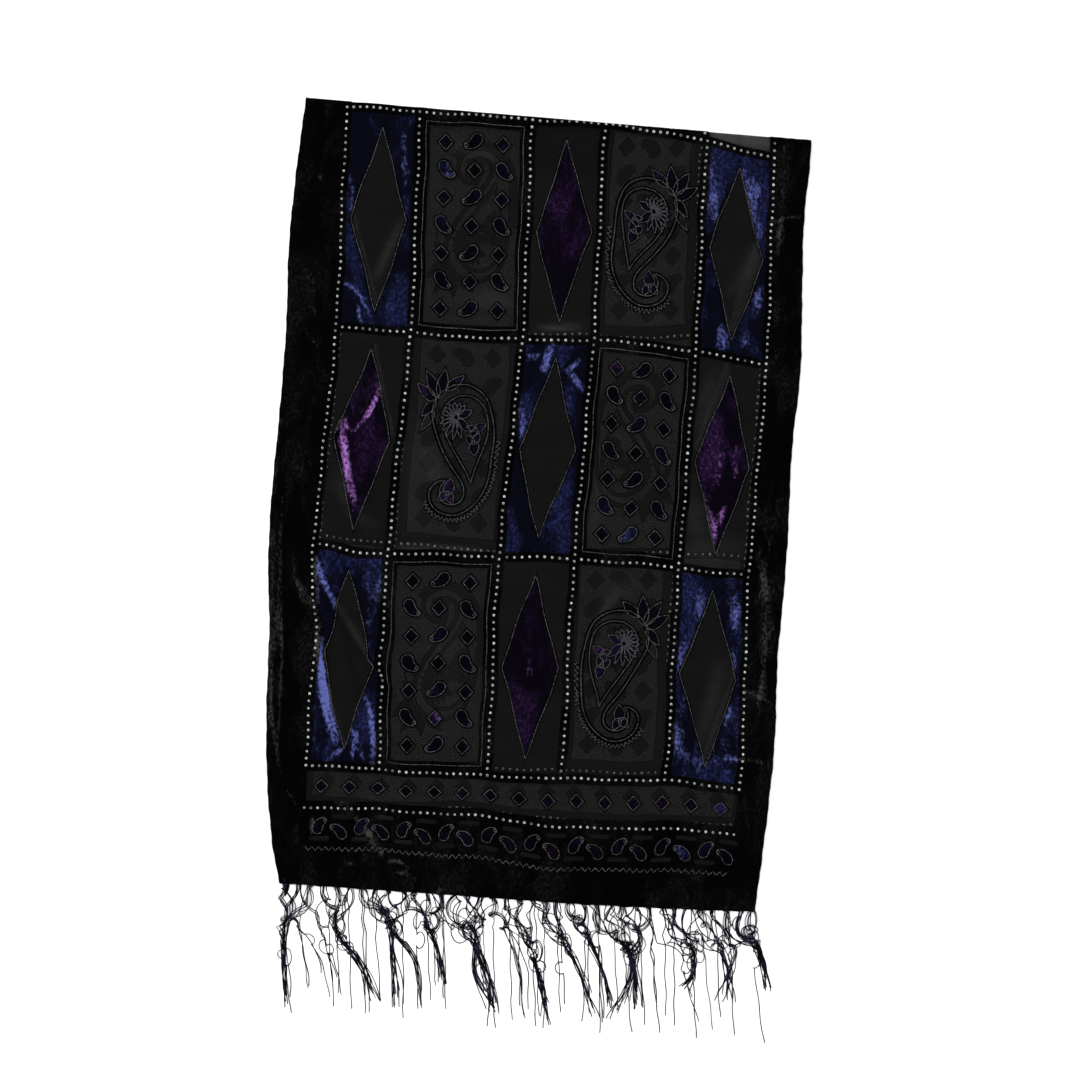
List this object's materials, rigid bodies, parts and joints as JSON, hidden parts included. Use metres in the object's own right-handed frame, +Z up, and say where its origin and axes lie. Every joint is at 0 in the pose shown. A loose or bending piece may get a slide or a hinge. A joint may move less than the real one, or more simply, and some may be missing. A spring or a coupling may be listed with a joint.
{
  "type": "prayer shawl",
  "caption": "Long oblong shawl of patterned burnout velvet with bead lines, folded once across its middle and laid flat, with a bundled thread fringe along both short ends.",
  "frame": {"origin": "middle of the whole outline, fringe included, on the surface that the shawl lies on", "axes": "+Y from the fringed hems to the fold, +Z up from the surface, +X to the right as seen from above"},
  "size_m": [0.5321, 0.9126, 0.0086],
  "materials": {
    "front_cloth": "burnout velvet in black, dark blue and dark violet on sheer black georgette, with silver bead lines",
    "back_cloth": "wrong side of the burnout velvet: dull sheer black georgette, with the velvet pattern seen flat",
    "thread": "fine black-violet rayon thread with a soft shine"
  },
  "bodies": {
    "root": {"front_half": "front_cloth", "back_half": "back_cloth", "front_fringe": "thread", "back_fringe": "thread"}
  },
  "joints": []
}
